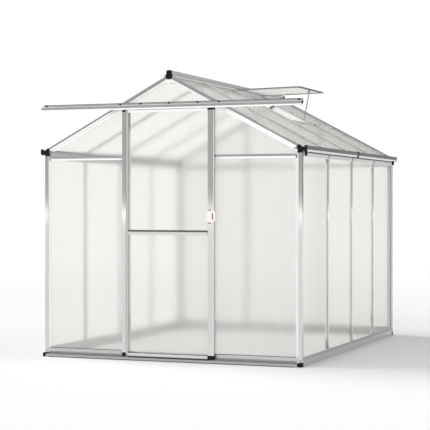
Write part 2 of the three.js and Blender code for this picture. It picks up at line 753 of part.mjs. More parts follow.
// A flat bar with round ends and a row of holes, hanging from its upper one.
function stayGeometry() {
  const half = STAY_WIDTH / 2;
  const bar = new THREE.Shape();
  bar.absarc(0, 0, half, 0, Math.PI);
  bar.absarc(0, -STAY_LENGTH + half, half, Math.PI, 2 * Math.PI);
  for (const along of [0, 90, 130, 170, 210]) {
    const hole = new THREE.Path();
    hole.absarc(0, -along, 1.8, 0, 2 * Math.PI);
    bar.holes.push(hole);
  }
  return crosswise(bar, 0, STAY_THICK, 8);
}

const greenhouse = new THREE.Group();
buildSide(greenhouse, "left", -1);
buildSide(greenhouse, "right", 1);
buildCorner(greenhouse, "front_left", [-1, 1, 1], FRONT);
buildCorner(greenhouse, "front_right", [1, 1, 1], FRONT);
buildCorner(greenhouse, "rear_left", [-1, -1, 1], REAR);
buildCorner(greenhouse, "rear_right", [1, -1, 1], REAR);
buildRidge(greenhouse);
buildFrontGable(greenhouse);
buildRearGable(greenhouse);
buildRunners(greenhouse);
buildDoor(greenhouse);
buildVent(greenhouse);

export default greenhouse;
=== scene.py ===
from math import atan2, cos, pi, radians, sin, tan

import bmesh
import bpy
from mathutils import Matrix, Vector


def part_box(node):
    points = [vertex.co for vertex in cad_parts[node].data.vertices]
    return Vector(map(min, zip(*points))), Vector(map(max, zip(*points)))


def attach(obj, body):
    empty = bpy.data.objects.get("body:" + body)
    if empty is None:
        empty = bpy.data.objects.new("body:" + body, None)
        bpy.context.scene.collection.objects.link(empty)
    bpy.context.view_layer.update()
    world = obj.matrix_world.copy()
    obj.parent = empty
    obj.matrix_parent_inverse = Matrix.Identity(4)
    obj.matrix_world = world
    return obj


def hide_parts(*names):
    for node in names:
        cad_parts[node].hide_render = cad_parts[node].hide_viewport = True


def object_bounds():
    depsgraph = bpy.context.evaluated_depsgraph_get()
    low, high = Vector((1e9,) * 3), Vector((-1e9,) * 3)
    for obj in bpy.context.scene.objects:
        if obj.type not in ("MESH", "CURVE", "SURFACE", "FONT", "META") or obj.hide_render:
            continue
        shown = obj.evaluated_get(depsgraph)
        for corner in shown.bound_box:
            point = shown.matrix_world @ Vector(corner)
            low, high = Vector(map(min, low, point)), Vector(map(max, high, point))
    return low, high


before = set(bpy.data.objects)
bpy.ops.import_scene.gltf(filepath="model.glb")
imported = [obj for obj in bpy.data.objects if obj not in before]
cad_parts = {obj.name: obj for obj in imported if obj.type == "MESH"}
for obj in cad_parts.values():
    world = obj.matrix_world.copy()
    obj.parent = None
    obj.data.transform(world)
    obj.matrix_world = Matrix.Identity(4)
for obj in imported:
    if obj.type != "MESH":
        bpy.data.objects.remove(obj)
drawn_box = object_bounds()

# The house stands on the ground with its door to the front. The eye is low and far off, a little to the right,
# so that the front gable is seen nearly square and the right-hand wall runs away to the back.
ground = drawn_box[0][2]
eye_place = (3.7336, -9.9805, ground + 1.0668)
eye_dip = 0.42
eye_turn = 21.16
lens = bpy.data.cameras.new("eye")
lens.sensor_width = 36
lens.lens = 117.26
eye = bpy.data.objects.new("eye", lens)
eye.location = eye_place
eye.rotation_euler = (radians(90 - eye_dip), 0, radians(eye_turn))
bpy.context.collection.objects.link(eye)
bpy.context.scene.camera = eye
bpy.context.scene.view_settings.view_transform = "Standard"
bpy.context.scene.cycles.transparent_max_bounces = 32


# The studio: a pale floor that runs out into a bright even backdrop, and three broad lamps. The strongest stands
# high on the left and throws a soft shadow to the right. Polished bars mirror surroundings that are bright below
# the horizon and dim above it, and dimmer still beyond the house.
class Wire:
    """One output in a tree of shader nodes. Arithmetic on it adds Math nodes."""

    def __init__(self, tree, socket=None):
        self.tree = tree
        self.socket = socket

    def node(self, kind, settings=None, values=None, out=0):
        made = self.tree.nodes.new(kind)
        for key, value in (settings or {}).items():
            if key == "stops":
                ramp = made.color_ramp
                while len(ramp.elements) < len(value):
                    ramp.elements.new(0.5)
                for stop, (place, colour) in zip(ramp.elements, value):
                    stop.position = place
                    stop.color = colour
            else:
                setattr(made, key, value)
        for key, value in (values or {}).items():
            if isinstance(value, Wire):
                self.tree.links.new(value.socket, made.inputs[key])
            else:
                made.inputs[key].default_value = value
        return Wire(self.tree, made.outputs[out] if made.outputs else None)

    def sum(self, how, first, second):
        return self.node("ShaderNodeMath", {"operation": how}, {0: first, 1: second})

    def __add__(self, other):
        return self.sum("ADD", self, other)

    __radd__ = __add__

    def __sub__(self, other):
        return self.sum("SUBTRACT", self, other)

    def __rsub__(self, other):
        return self.sum("SUBTRACT", other, self)

    def __mul__(self, other):
        return self.sum("MULTIPLY", self, other)

    __rmul__ = __mul__


def grey(value, warmth=0.0):
    return (value * (1 + warmth), value, value * (1 - warmth), 1)


sky = bpy.data.worlds.new("studio_sky")
sky.use_nodes = True
sky.node_tree.nodes.clear()
air = Wire(sky.node_tree)
heading = air.node("ShaderNodeTexCoord", out="Generated")
upward = air.node("ShaderNodeSeparateXYZ", values={0: heading}, out="Z")
glow = air.node(
    "ShaderNodeValToRGB",
    {"stops": [(0.0, grey(2.4)), (0.4977, grey(2.4)), (0.4996, grey(0.62)), (0.52, grey(0.56)), (1.0, grey(0.7))]},
    {0: upward * 0.5 + 0.5},
)
away = (0.36, 0.93, 0.0)
behind = air.node("ShaderNodeVectorMath", {"operation": "DOT_PRODUCT"}, {0: heading, 1: away}, out="Value")
screen = air.node(
    "ShaderNodeMapRange", {"interpolation_type": "SMOOTHSTEP"}, {0: behind, 1: 0.7, 2: 0.88, 3: 1.0, 4: 0.46},
)
path = {name: air.node("ShaderNodeLightPath", out=name)
        for name in ("Is Camera Ray", "Is Transmission Ray", "Is Glossy Ray", "Diffuse Depth")}
backdrop_glow = 1.05
backdrop = air.node("ShaderNodeBackground", values={"Color": grey(1.0), "Strength": backdrop_glow})
mirrored = air.node("ShaderNodeBackground", values={"Color": glow, "Strength": screen})
fill_glow = 0.27
even = air.node("ShaderNodeBackground", values={"Color": grey(1.0), "Strength": fill_glow})
around = air.node("ShaderNodeMixShader", values={0: path["Is Glossy Ray"], 1: even, 2: mirrored})
straight = path["Is Camera Ray"] + path["Is Transmission Ray"]
straight = straight * air.sum("LESS_THAN", path["Diffuse Depth"], 0.5)
seen = air.node("ShaderNodeMixShader", values={0: straight, 1: around, 2: backdrop})
air.node("ShaderNodeOutputWorld", values={"Surface": seen})
bpy.context.scene.world = sky


def lamp(name, strength, elevation, azimuth, spread):
    """A sun-like lamp whose rays come from that elevation and azimuth, anticlockwise from +X."""
    light = bpy.data.lights.new(name, "SUN")
    light.energy = strength
    light.angle = radians(spread)
    holder = bpy.data.objects.new(name, light)
    holder.rotation_euler = (radians(90 - elevation), 0, radians(azimuth + 90))
    holder.visible_glossy = False
    holder.visible_transmission = False
    bpy.context.collection.objects.link(holder)


lamp("high_left_lamp", strength=2.25, elevation=43, azimuth=178, spread=40)
lamp("high_right_lamp", strength=0.55, elevation=46, azimuth=10, spread=36)
lamp("front_lamp", strength=2.2, elevation=12, azimuth=250, spread=80)


def material(name):
    made = bpy.data.materials.new(name)
    made.use_nodes = True
    made.node_tree.nodes.clear()
    return made, Wire(made.node_tree)


def finish_with(wire, surface):
    wire.node("ShaderNodeOutputMaterial", values={"Surface": surface})


def new_piece(name, mesh_maker, finish, body, replaces=()):
    """Turns a bmesh into an object that rides on a body of the house."""
    data = bpy.data.meshes.new(name)
    mesh_maker.to_mesh(data)
    mesh_maker.free()
    data.materials.append(finish)
    piece = bpy.data.objects.new(name, data)
    bpy.context.collection.objects.link(piece)
    if body:
        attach(piece, body)
    if replaces:
        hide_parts(*replaces)
    return piece


floor_finish, w = material("studio_floor")
mottle = w.node("ShaderNodeTexNoise", values={"Vector": w.node("ShaderNodeTexCoord", out="Object"), "Scale": 0.6})
tone = w.node("ShaderNodeMix", {"data_type": "RGBA"}, {0: mottle, 6: grey(0.91), 7: grey(0.93)}, out=2)
near = w.node("ShaderNodeBsdfPrincipled", values={"Base Color": tone, "Roughness": 0.9})
fade_start, fade_end = 5.0, 16.0
place = w.node("ShaderNodeTexCoord", out="Object")
reach = w.node("ShaderNodeVectorMath", {"operation": "LENGTH"}, {0: place}, out="Value")
fade = w.node(
    "ShaderNodeMapRange", {"interpolation_type": "SMOOTHSTEP"},
    {0: reach, 1: fade_start, 2: fade_end, 3: 0.0, 4: 1.0},
)
far = w.node("ShaderNodeEmission", values={"Color": grey(1.0), "Strength": backdrop_glow})
finish_with(w, w.node("ShaderNodeMixShader", values={0: fade, 1: near, 2: far}))
plane = bmesh.new()
bmesh.ops.create_grid(plane, x_segments=1, y_segments=1, size=90)
bmesh.ops.translate(plane, vec=(0, 0, ground - 0.0004), verts=plane.verts)
new_piece("studio_floor", plane, floor_finish, None)


# The frame: extruded bars of aluminium with their mill finish, cut to length and bolted together. Each has fine
# drawing lines along its length, and its arrises are slightly eased by the die. The eave beams and the vent's frame
# are darker than the rest, as painted shade, and the track is darker too. The ridge, the roof bars and the side
# studs are paler, as painted light.
def mill_aluminium(name, along, tone=0.66, polish=0.06, metal=1.0):
    """Mill-finished aluminium drawn in one direction."""
    made, w = material(name)
    place = w.node("ShaderNodeTexCoord", out="Object")
    tilt = -atan2(along[2], along[0]) if along[0] else 0.0
    turned = w.node("ShaderNodeMapping", values={"Vector": place, "Rotation": (0, tilt, 0)}) if tilt else place
    scale = tuple(0.4 if along[i] and not (tilt and i == 2) else 90.0 for i in range(3))
    stretched = w.node("ShaderNodeMapping", values={"Vector": turned, "Scale": scale})
    lines = w.node("ShaderNodeTexNoise", values={"Vector": stretched, "Scale": 1.0, "Detail": 3.0})
    patches = w.node("ShaderNodeTexNoise", values={"Vector": place, "Scale": 2.4, "Detail": 2.0})
    colour = w.node(
        "ShaderNodeMix", {"data_type": "RGBA"},
        {0: lines * 0.6 + patches * 0.4, 6: grey(tone * 0.9, 0.004), 7: grey(tone * 1.08, -0.004)}, out=2,
    )
    rough = polish * 0.75 + lines * (polish * 0.3) + patches * (polish * 0.25)
    finish_with(w, w.node("ShaderNodeBsdfPrincipled", values={
        "Base Color": colour, "Metallic": metal, "Roughness": rough,
    }))
    return made


pitch = radians(28)
down_right = (cos(pitch), 0, -sin(pitch))
down_left = (cos(pitch), 0, sin(pitch))
matt = {"tone": 0.64, "polish": 0.3, "metal": 0.6}
pale = {"tone": 0.84, "polish": 0.4, "metal": 0.3}
upright_bar = mill_aluminium("aluminium_upright", (0, 0, 1))
cross_bar = mill_aluminium("aluminium_across", (1, 0, 0))
long_bar = mill_aluminium("aluminium_lengthwise", (0, 1, 0))
# Painted shade: a darker copy of the aluminium for the eave beams, the vent's frame and the bands on the track. It
# stands in for the shade in and under them.
shaded_bar = mill_aluminium("aluminium_painted_shade", (0, 1, 0), tone=0.4, polish=0.3)
base_bar = mill_aluminium("aluminium_base", (0, 1, 0), tone=0.68, polish=0.3, metal=0.5)
base_cross_bar = mill_aluminium("aluminium_base_across", (1, 0, 0), **matt)
track_bar = mill_aluminium("aluminium_track", (1, 0, 0), tone=0.44, polish=0.3, metal=0.6)
lip_bar = mill_aluminium("aluminium_lip", (0, 0, 1), tone=0.6, polish=0.35, metal=0.6)
# Painted light: the ridge's copy of the aluminium is paler than the other bars, so that it reads lighter.
ridge_bar = mill_aluminium("aluminium_ridge", (0, 1, 0), tone=0.95, polish=0.3, metal=0.5)
right_slope_bar = mill_aluminium("aluminium_right_slope", down_right, tone=0.6)
left_slope_bar = mill_aluminium("aluminium_left_slope", down_left, tone=0.6)
# Painted light: the roof bars' copies are paler than the other bars, for the light that glows onto them through the
# roof.
right_roof_bar = mill_aluminium("aluminium_right_roof", down_right, **pale)
left_roof_bar = mill_aluminium("aluminium_left_roof", down_left, **pale)
# Painted reflection: the side studs' copy is paler than the other uprights, so that their lower part reads as
# mirroring a bright floor.
stud_bar = mill_aluminium("aluminium_stud", (0, 0, 1), tone=0.8, polish=0.05)
pale_upright_bar = mill_aluminium("aluminium_pale", (0, 0, 1), **pale)
rear_bar = mill_aluminium("aluminium_rear", (0, 0, 1), **matt)


def ease_edges(piece, width=0.0004):
    weld = piece.modifiers.new("weld", "WELD")
    weld.merge_threshold = 0.00005
    ease = piece.modifiers.new("eased_arrises", "BEVEL")
    ease.width = width
    ease.segments = 1
    ease.limit_method = "ANGLE"
    ease.angle_limit = radians(40)


bar_finishes = {
    "corner_post_rear": pale_upright_bar, "corner_post": upright_bar, "wall_stud": stud_bar, "rear_stud": rear_bar,
    "door_jamb": upright_bar, "door_stile": upright_bar, "door_track": track_bar, "vent_stay": upright_bar,
    "vent_sill": long_bar, "vent_frame": shaded_bar, "gutter": long_bar, "eave_beam": shaded_bar, "ridge_beam": ridge_bar,
    "sill_left": base_bar, "sill_right": base_bar, "sill": base_cross_bar,
    "gable_rafter_front_right": right_slope_bar, "gable_rafter_rear_right": right_slope_bar,
    "gable_rafter": left_slope_bar, "roof_bar_right": right_roof_bar, "roof_bar_left": left_roof_bar,
}
for name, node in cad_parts.items():
    if any(word in name for word in ("panels", "pane", "roller", "handle", "bracket")):
        continue
    finish = next((made for start, made in bar_finishes.items() if name.startswith(start)), cross_bar)
    node.data.materials.clear()
    node.data.materials.append(finish)
    ease_edges(node)


# The glazing: twin-wall polycarbonate, 4 mm thick, in one panel for each bay. Two thin skins are held apart by
# ribs that run down the panel. It is clear but fluted, so it goes milky and shows what is behind it softly.
flute_pitch = 0.0155


def twin_wall(name, along, tint=(0.82, 0.82, 0.79, 1), cover=0.21, haze=0.4, ripple=0.9):
    """Twin-wall sheet whose flutes run across the axis numbered `along`."""
    made, w = material(name)
    place = w.node("ShaderNodeTexCoord", out="Object")
    across = w.node("ShaderNodeSeparateXYZ", values={0: place}, out=along)
    flutes = w.node("ShaderNodeMath", {"operation": "SINE"}, {0: across * (2 * pi / flute_pitch)})
    only = tuple(9.0 if i == along else 0.25 for i in range(3))
    streaks = w.node("ShaderNodeTexNoise", values={
        "Vector": w.node("ShaderNodeMapping", values={"Vector": place, "Scale": only}), "Scale": 3.0, "Detail": 4.0,
    })
    veil = cover + flutes * (cover * ripple) + (streaks - 0.5) * (cover * 0.3)
    rough = 0.22 + streaks * 0.1
    skin = w.node("ShaderNodeBsdfPrincipled", values={"Base Color": tint, "Roughness": rough, "IOR": 1.5})
    through = w.node("ShaderNodeBsdfTranslucent", values={"Color": tint})
    body = w.node("ShaderNodeMixShader", values={0: 0.45, 1: skin, 2: through})
    soft = w.node("ShaderNodeBsdfRefraction", values={
        "Color": (0.985, 0.987, 0.978, 1), "Roughness": haze, "IOR": 1.06,
    })
    clear = w.node("ShaderNodeBsdfTransparent", values={"Color": grey(0.68)})
    lamps = w.node("ShaderNodeLightPath", out="Is Shadow Ray")
    window = w.node("ShaderNodeMixShader", values={0: lamps, 1: soft, 2: clear})
    finish_with(w, w.node("ShaderNodeMixShader", values={0: veil, 1: window, 2: body}))
    return made


# Painted light: the side walls' and the roof's copies of the sheet are tinted paler than the gables', so that they
# read brighter, as where more light falls on them.
side_sheet = twin_wall("twin_wall_side", 1, tint=(0.95, 0.95, 0.92, 1), cover=0.038, haze=0.23)
gable_sheet = twin_wall("twin_wall_gable", 0)
roof_sheet = twin_wall("twin_wall_roof", 1, tint=(0.975, 0.97, 0.945, 1), cover=0.2, haze=0.17, ripple=0.2)
part_count = {}


def trimmed(node, finish, body, slot, *trims):
    """A length or a panel: the drawn part, trimmed at each (point, direction that is cut away)."""
    shape = bmesh.new()
    shape.from_mesh(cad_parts[node].data)
    bmesh.ops.remove_doubles(shape, verts=shape.verts, dist=0.00001)
    for point, away in trims:
        found = bmesh.ops.bisect_plane(
            shape, geom=shape.verts[:] + shape.edges[:] + shape.faces[:],
            plane_co=point, plane_no=away, clear_outer=True,
        )
        rim = [part for part in found["geom_cut"] if isinstance(part, bmesh.types.BMEdge)]
        bmesh.ops.holes_fill(shape, edges=rim)
    bmesh.ops.dissolve_limit(shape, angle_limit=radians(1), verts=shape.verts, edges=shape.edges)
    part_count[node] = part_count.get(node, 0) + 1
    return new_piece(f"{node}_{part_count[node]}", shape, finish, body, (node,))


def panel(node, finish, body, *trims):
    return trimmed(node, finish, body, "twin_wall_sheet", *trims)


def middle(node):
    low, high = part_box(node)
    return (low + high) / 2


web = 0.0015
for side in ("left", "right"):
    bars = [middle(f"wall_stud_{side}_{i}").y for i in (1, 2, 3)]
    edges = [None, *bars, None]
    for start, end in zip(edges, edges[1:]):
        trims = []
        if start is not None:
            trims.append(((0, start + web, 0), (0, -1, 0)))
        if end is not None:
            trims.append(((0, end - web, 0), (0, 1, 0)))
        panel(f"wall_panels_{side}", side_sheet, "house", *trims)
        panel(f"roof_panels_{side}", roof_sheet, "house", *trims)

transom = middle("front_transom_right").z
door_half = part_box("door_jamb_right")[0].x
for hand in (-1, 1):
    outside = ((hand * (door_half + 0.0225), 0, 0), (-hand, 0, 0))
    panel("gable_panels_front", gable_sheet, "house", outside, ((0, 0, transom - web), (0, 0, 1)))
    panel("gable_panels_front", gable_sheet, "house", outside, ((0, 0, transom + web), (0, 0, -1)))
panel(
    "gable_panels_front", gable_sheet, "house",
    ((door_half + 0.0195, 0, 0), (1, 0, 0)), ((-door_half - 0.0195, 0, 0), (-1, 0, 0)),
)
stud = middle("rear_stud_right").x
panel("gable_panels_rear", gable_sheet, "house", ((-stud - web, 0, 0), (1, 0, 0)))
panel("gable_panels_rear", gable_sheet, "house", ((-stud + web, 0, 0), (-1, 0, 0)), ((stud - web, 0, 0), (1, 0, 0)))
panel("gable_panels_rear", gable_sheet, "house", ((stud + web, 0, 0), (-1, 0, 0)))
panel("door_pane_upper", gable_sheet, "door")
panel("door_pane_lower", gable_sheet, "door")
panel("vent_pane", roof_sheet, "roof_vent")


# The glazing strips: white strips, or pale aluminium on the gable side of the corner posts, laid over the lips that
# hold the panels. They are painted highlights: the pale line beside the bars stands in for the gleam of the lips.
# On the lower part of each front rafter the strip is broader, a broader painted highlight.
# Painted highlight: a white, faintly mottled finish for the strips, the gusset and the bands that stand in for bright
# gleams and lit faces.
painted_highlight_white, w = material("painted_highlight_white")
place = w.node("ShaderNodeTexCoord", out="Object")
cloud = w.node("ShaderNodeTexNoise", values={"Vector": place, "Scale": 14.0, "Detail": 3.0})
shade = w.node("ShaderNodeMix", {"data_type": "RGBA"}, {0: cloud, 6: grey(0.92, 0.004), 7: grey(0.97, 0.002)}, out=2)
finish_with(w, w.node("ShaderNodeBsdfPrincipled", values={"Base Color": shade, "Roughness": 0.3 + cloud * 0.1}))


def ease(shape, width, segments=2):
    bmesh.ops.bevel(
        shape, geom=shape.edges[:], offset=width, offset_type="OFFSET", segments=segments, profile=0.5,
        affect="EDGES", material=-1,
    )
    bmesh.ops.recalc_face_normals(shape, faces=shape.faces)


def block(low, high, rounding=0.0003, segments=1):
    """A box between two corners, with its edges rounded."""
    low, high = [Vector(min(p) for p in zip(low, high)), Vector(max(p) for p in zip(low, high))]
    shape = bmesh.new()
    bmesh.ops.create_cube(shape, size=1)
    bmesh.ops.scale(shape, vec=high - low, verts=shape.verts)
    bmesh.ops.translate(shape, vec=(low + high) / 2, verts=shape.verts)
    ease(shape, rounding, segments)
    return shape


def slab(outline, start, end, rounding=0.0003, segments=1):
    """A plate with that outline, as (x, z) points, from y = start to y = end."""
    shape = bmesh.new()
    face = shape.faces.new([shape.verts.new((x, start, z)) for x, z in outline])
    pushed = bmesh.ops.extrude_face_region(shape, geom=[face])["geom"]
    moved = [part for part in pushed if isinstance(part, bmesh.types.BMVert)]
    bmesh.ops.translate(shape, vec=(0, end - start, 0), verts=moved)
    ease(shape, rounding, segments)
    return shape


half_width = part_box("corner_post_front_right")[1].x
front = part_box("corner_post_front_right")[0].y
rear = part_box("corner_post_rear_right")[1].y
apex = 1.955


def on_slope(hand, s, n):
    """The (x, z) of a point s down the slope and n out of it."""
    return hand * (s * cos(pitch) + n * sin(pitch)), apex - s * sin(pitch) + n * cos(pitch)


def rafter_strip(name, hand, end, start, stop, edges, depths, finish):
    """A strip along a rafter, between two distances from its outer edge and two depths behind the gable's face."""
    face = front if end < 0 else rear
    near, far = edges
    outline = [(start or near * tan(pitch) + 0.0005, near), (stop, near), (stop - (far - near) * 0.53, far),
               (start or far * tan(pitch) + 0.0005, far)]
    shape = slab([on_slope(hand, s, -u) for s, u in outline], face - end * depths[0], face - end * depths[1])
    return new_piece(name, shape, finish, "house")


strip_reach = (0.0222, 0.0344)
strip_seat = (0.0026, 0.0042)
rafter_foot = 1.030
corner_names = {(-1, -1): "front_left", (1, -1): "front_right", (-1, 1): "rear_left", (1, 1): "rear_right"}
for (hand, end), name in corner_names.items():
    face = front if end < 0 else rear
    lip = [half_width - 0.0268, half_width - 0.0440]
    seat = [face - end * depth for depth in strip_seat]
    strip = block((hand * lip[0], seat[0], 0.062), (hand * lip[1], seat[1], 1.404))
    new_piece(f"gable_strip_{name}", strip, pale_upright_bar, "house")
    bead = block(
        (hand * (half_width - 0.0221), face - end * 0.0004, 0.061),
        (hand * (half_width - 0.0266), face - end * 0.0042, 1.405),
    )
    new_piece(f"gable_bead_{name}", bead, upright_bar, "house")
    lip = [face - end * reach for reach in strip_reach]
    seat = [half_width - depth for depth in strip_seat]
    strip = block((hand * seat[0], lip[0], 0.062), (hand * seat[1], lip[1], 1.398))
    new_piece(f"side_strip_{name}", strip, painted_highlight_white, "house")
    crossing = 0.434 if end < 0 else rafter_foot
    rafter_strip(f"peak_strip_{name}", hand, end, None, crossing, strip_reach, strip_seat, painted_highlight_white)
    if end < 0:
        broad = (0.0140, 0.0265)
        rafter_strip(f"rafter_strip_{name}", hand, end, crossing, 1.043, broad, (-0.0011, -0.0001), painted_highlight_white)
        fin = (0.0266, 0.0425)
        rafter_strip(f"rafter_fin_{name}", hand, end, crossing, rafter_foot, fin, strip_seat, painted_highlight_white)
# Painted highlights: white strips on the lower half of each transom, under the door's top rail and on and under the
# rail, for their lit lower faces.
low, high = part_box("front_transom_right")
for hand, side in ((-1, "left"), (1, "right")):
    seam = (low.z + high.z) / 2 - 0.0003
    strip = block((hand * low.x, front + 0.0026, low.z + 0.0003), (hand * high.x, front + 0.0042, seam))
    new_piece(f"transom_strip_{side}", strip, painted_highlight_white, "house")
door_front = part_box("door_stile_right")[0].y
low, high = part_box("door_middle_rail")
door_seam = (low.z + high.z) / 2
low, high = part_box("door_top_rail")
strip = block((low.x, low.y - 0.0013, low.z - 0.0020), (high.x, low.y - 0.0001, low.z + 0.0166))
new_piece("door_top_strip", strip, painted_highlight_white, "door")
low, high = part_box("door_rail")
strip = block((low.x, low.y + 0.0005, low.z - 0.0105), (high.x, low.y + 0.0018, low.z - 0.0002))
new_piece("door_rail_strip", strip, painted_highlight_white, "house")


# The gaskets: black rubber strips between the panels and the bars, which also paint the shade in the gaps there.
# They show as thin dark lines over the sills and the door's rails, along the eaves, the ridge and the door's rail,
# and under the track, where the strip is a painted contact shadow. The strips, the fin, the lip and the bands that go
# with them are white or aluminium: the white strips are painted highlights and the bands on the track painted shade.
rubber_painted_shade, w = material("black_rubber_painted_shade")
place = w.node("ShaderNodeTexCoord", out="Object")
bloom = w.node("ShaderNodeTexNoise", values={"Vector": place, "Scale": 45.0, "Detail": 3.0})
shade = w.node("ShaderNodeMix", {"data_type": "RGBA"}, {0: bloom, 6: grey(0.05), 7: grey(0.09)}, out=2)
finish_with(w, w.node("ShaderNodeBsdfPrincipled", values={
    "Base Color": shade, "Roughness": 0.6 + bloom * 0.2, "Specular IOR Level": 0.2,
}))


# Each gasket is a thin black strip that also paints the shade of the gap or recess it lies in.
def shade_gasket(name, low, high, body="house"):
    return new_piece(name, block(low, high, 0.0004), rubber_painted_shade, body)


eave_strip_low, eave_strip_high = 1.3845, 1.4113
wall_face = half_width + 0.0001
for hand, side in ((-1, "left"), (1, "right")):
    shade_gasket(
        f"sill_shade_gasket_front_{side}", (hand * 0.335, front + 0.0046, 0.0602), (hand * 0.905, front + 0.0068, 0.0640),
    )
    low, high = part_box(f"sill_{side}")
    shade_gasket(f"eave_shade_gasket_{side}", (hand * wall_face, low.y, 1.4115), (hand * 0.9525, high.y, 1.4158))
    strip = block((hand * wall_face, low.y, eave_strip_low), (hand * 0.9512, high.y, eave_strip_high))
    new_piece(f"eave_strip_{side}", strip, painted_highlight_white, "house")
low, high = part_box("door_stile_right")
seal = block((high.x - 0.0016, low.y - 0.0004, low.z + 0.024), (high.x + 0.0007, high.y, high.z - 0.014))
new_piece("door_edge_fin", seal, pale_upright_bar, "door")
low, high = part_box("door_bottom_rail")
shade_gasket(
    "door_bottom_shade_seal", (low.x, door_front - 0.0006, low.z + 0.0005),
    (high.x, door_front - 0.0001, low.z + 0.0135), "door",
)
low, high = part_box("door_stile_left")
lip = block((low.x + 0.0292, low.y + 0.0034, low.z + 0.001), (high.x - 0.0001, low.y + 0.0043, high.z - 0.001))
new_piece("door_stile_lip", lip, lip_bar, "door")
# Painted shade: a dark band across the front of each side of the sill, for the shaded gap above the track.
for hand, side in ((-1, "left"), (1, "right")):
    band = block((hand * 0.342, front - 0.0012, 0.0246), (hand * 0.914, front - 0.0001, 0.0385))
    new_piece(f"track_band_{side}", band, shaded_bar, "house")
middle_low, middle_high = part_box("door_middle_rail")
shade_gasket(
    "door_middle_shade_gasket", (middle_low.x, door_front + 0.0046, door_seam + 0.0036),
    (middle_high.x, door_front + 0.0058, middle_high.z - 0.0004), "door",
)
shade_gasket(
    "door_bottom_shade_gasket", (middle_low.x, door_front + 0.0064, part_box("door_bottom_rail")[1].z + 0.0001),
    (middle_high.x, door_front + 0.0084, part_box("door_bottom_rail")[1].z + 0.0042), "door",
)
low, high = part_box("door_track")
# Painted contact shadow: a black strip along the foot of the track.
shade_gasket("track_contact_shadow", (low.x + 0.02, low.y - 0.0003, 0.0002), (high.x - 0.02, low.y + 0.003, 0.0050))
low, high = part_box("sill_rear")
shade_gasket("sill_shade_gasket_rear", (low.x, rear - 0.0046, high.z + 0.0002), (high.x, rear - 0.0068, high.z + 0.0030))
low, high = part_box("door_rail")
shade_gasket("rail_shade_gasket_top", (low.x, front - 0.0034, high.z - 0.0030), (high.x, front - 0.0025, high.z - 0.0001))
strip = block((low.x, low.y - 0.0008, low.z + 0.0180), (high.x, low.y - 0.0001, low.z + 0.0197))
new_piece("rail_bead", strip, painted_highlight_white, "house")
low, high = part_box("ridge_beam")
for hand, side in ((-1, "left"), (1, "right")):
    strip = block((hand * high.x, low.y, 1.9395), (hand * (high.x + 0.0012), high.y, 1.9490))
    new_piece(f"ridge_strip_{side}", strip, painted_highlight_white, "house")
    shade_gasket(f"ridge_shade_gasket_{side}", (hand * high.x, low.y, 1.9500), (hand * (high.x + 0.0010), high.y, 1.9525))


# The moulded parts: black nylon with a fine grain. A joint wraps each eave corner, a foot plugs each post, a cap
# closes each end of the ridge, and small caps close the door's stiles. A white gusset, a painted highlight like the
# strips, fills each peak.
black_nylon, w = material("black_nylon")
place = w.node("ShaderNodeTexCoord", out="Object")
grain = w.node("ShaderNodeTexNoise", values={"Vector": place, "Scale": 900.0, "Detail": 2.0})
worn = w.node("ShaderNodeTexNoise", values={"Vector": place, "Scale": 30.0, "Detail": 3.0})
shade = w.node("ShaderNodeMix", {"data_type": "RGBA"}, {0: worn, 6: grey(0.004), 7: grey(0.010)}, out=2)
pits = w.node("ShaderNodeBump", values={"Height": grain, "Strength": 0.15, "Distance": 0.0002})
finish_with(w, w.node("ShaderNodeBsdfPrincipled", values={
    "Base Color": shade, "Roughness": 0.4 + worn * 0.16, "Specular IOR Level": 0.16, "Normal": pits,
}))


def moulded(name, shape, body="house"):
    return new_piece(name, shape, black_nylon, body)


eave_joint = ((0.9170, 1.4092), (0.9508, 1.4092), (0.9508, 1.4475), (0.9437, 1.4520), (0.9355, 1.4582),
              (0.9245, 1.4648), (0.9158, 1.4590), (0.9115, 1.4450), (0.9170, 1.4380))
for (hand, end), name in corner_names.items():
    face = front - 0.003 if end < 0 else rear - 0.0002
    inward = front + 0.030 if end < 0 else rear - 0.034
    joint = slab([(hand * x, z) for x, z in eave_joint], face, inward, 0.0014, 2)
    moulded(f"eave_joint_{name}", joint)
    toe = front - 0.030 if end < 0 else rear - 0.0002
    heel = front + 0.022 if end < 0 else rear - 0.034
    moulded(f"foot_{name}", block((hand * 0.9256, toe, 0.0001), (hand * 0.9520, heel, 0.0268), 0.0015, 2))
for end, name in ((-1, "front"), (1, "rear")):
    face = front if end < 0 else rear
    peak = ((0, 1.9175), (0.0370, 1.8975), (-0.0370, 1.8975))
    gusset = slab(peak, *(face - end * depth for depth in strip_seat))
    new_piece(f"peak_gusset_{name}", gusset, painted_highlight_white, "house")
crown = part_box("ridge_beam")[1].z
cap_outline = ((0.0100, crown - 0.0002), (0.0190, crown - 0.0045), (0.0206, 1.9560), (0.0250, 1.9480),
               (0.0240, 1.9310), (0.0120, 1.9205))
cap_outline += tuple((-x, z) for x, z in reversed(cap_outline))
for end, name in ((-1, "front"), (1, "rear")):
    face = front - 0.004 if end < 0 else rear - 0.0002
    inward = front + 0.0065 if end < 0 else rear - 0.0065
    moulded(f"ridge_cap_{name}", slab(cap_outline, face, inward, 0.0018, 2))
for side, faces in (("left", 0.0280), ("right", 0.0440)):
    low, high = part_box(f"door_stile_{side}")
    outer, inner = (low.x - 0.0006, low.x + faces) if side == "left" else (high.x + 0.0006, high.x - faces)
    for end, bottom, top in (("top", high.z - 0.0130, high.z + 0.0006), ("bottom", low.z - 0.003, low.z + 0.0225)):
        cap = block((outer, low.y - 0.0012, bottom), (inner, high.y + 0.0006, top), 0.001, 2)
        moulded(f"stile_cap_{side}_{end}", cap, "door")
for name in ("door_roller_left", "door_roller_right", "vent_stay_bracket"):
    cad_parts[name].data.materials.clear()
    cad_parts[name].data.materials.append(black_nylon)

